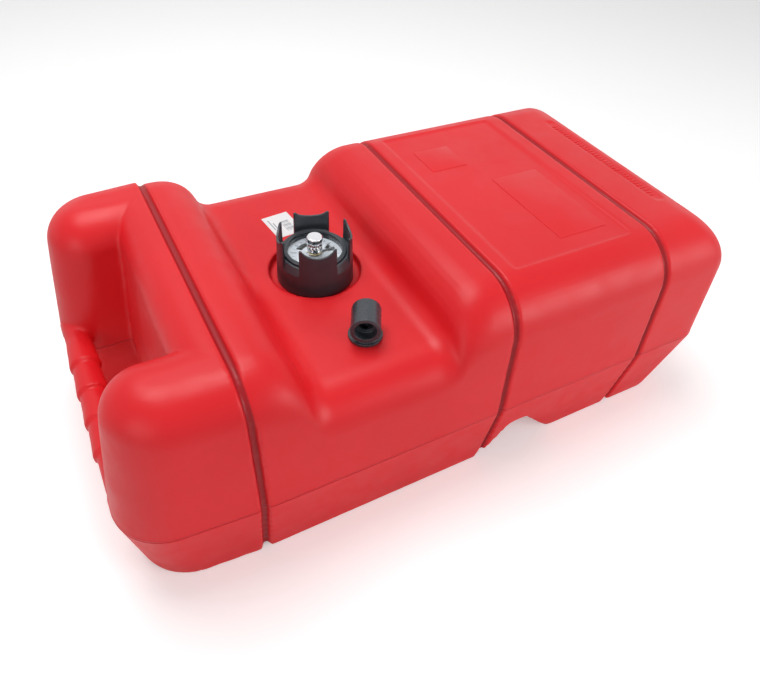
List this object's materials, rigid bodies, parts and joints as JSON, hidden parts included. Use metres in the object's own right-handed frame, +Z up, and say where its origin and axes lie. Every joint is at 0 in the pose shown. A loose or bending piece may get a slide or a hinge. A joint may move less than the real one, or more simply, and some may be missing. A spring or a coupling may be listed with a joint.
{
  "type": "outboard fuel tank",
  "caption": "Portable moulded outboard fuel tank with an end grip, a filler cap with float gauge and vent screw, and a swivelling outlet elbow.",
  "frame": {"origin": "on the ground under the middle of the tank", "axes": "+Z up, +X along the tank from the grip to the rear end, +Y to the left when looking along +X"},
  "size_m": [0.6486, 0.357, 0.2314],
  "materials": {
    "red_shell": "satin moulded polyethylene",
    "black_plastic": "fine grained",
    "white_film": "smooth film",
    "dial_face": "printed",
    "clear_lens": "clear",
    "chrome": "polished",
    "steel": "drawn",
    "brass": "turned",
    "rubber": "moulded",
    "float_foam": "closed cell",
    "pointer_black": "printed"
  },
  "bodies": {
    "tank": {"tank_shell": "red_shell", "deck_label": "white_film", "outlet_base": "black_plastic", "outlet_gasket": "rubber", "dip_tube": "black_plastic", "tube_strainer": "brass"},
    "gauge_unit": {"gauge_housing": "black_plastic", "neck_gasket": "rubber", "gauge_dial": "dial_face", "gauge_lens": "clear_lens", "lens_ring": "black_plastic", "vent_bushing": "chrome", "vent_locknut": "brass", "guide_rods": "steel", "guide_foot": "black_plastic"},
    "collar": {"cap_collar": "black_plastic"},
    "seal": {"vent_seal": "rubber"},
    "screw": {"vent_screw": "chrome"},
    "float": {"gauge_float": "float_foam", "float_driver": "brass"},
    "spindle": {"twisted_spindle": "brass", "gauge_pointer": "pointer_black"},
    "elbow": {"outlet_elbow": "black_plastic"}
  },
  "joints": [
    {"name": "gauge_lift", "type": "slide", "parent": "tank", "child": "gauge_unit", "axis": [0, 0, 1], "range_m": [0, 0.25]},
    {"name": "collar_turn", "type": "hinge", "parent": "gauge_unit", "child": "collar", "pos_m": [-0.07975, 0, 0.19], "axis": [0, 0, 1], "range_deg": [0, 540]},
    {"name": "vent_rise", "type": "slide", "parent": "gauge_unit", "child": "seal", "axis": [0, 0, 1], "range_m": [0, 0.0035]},
    {"name": "vent_turn", "type": "hinge", "parent": "seal", "child": "screw", "pos_m": [-0.07975, 0, 0.215], "axis": [0, 0, 1], "range_deg": [0, 720]},
    {"name": "float_rise", "type": "slide", "parent": "gauge_unit", "child": "float", "axis": [0, 0, 1], "range_m": [0, 0.118]},
    {"name": "spindle_turn", "type": "hinge", "parent": "gauge_unit", "child": "spindle", "pos_m": [-0.07975, 0, 0.1], "axis": [0, 0, 1], "range_deg": [-265, 0]},
    {"name": "elbow_swivel", "type": "hinge", "parent": "tank", "child": "elbow", "pos_m": [-0.07875, -0.1075, 0.19], "axis": [0, 0, 1], "continuous": true}
  ],
  "couplings": [
    {"joint": "vent_rise", "follows": "vent_turn", "m_per_rad": 0.00023873},
    {"joint": "spindle_turn", "follows": "float_rise", "rad_per_m": -38.397}
  ]
}
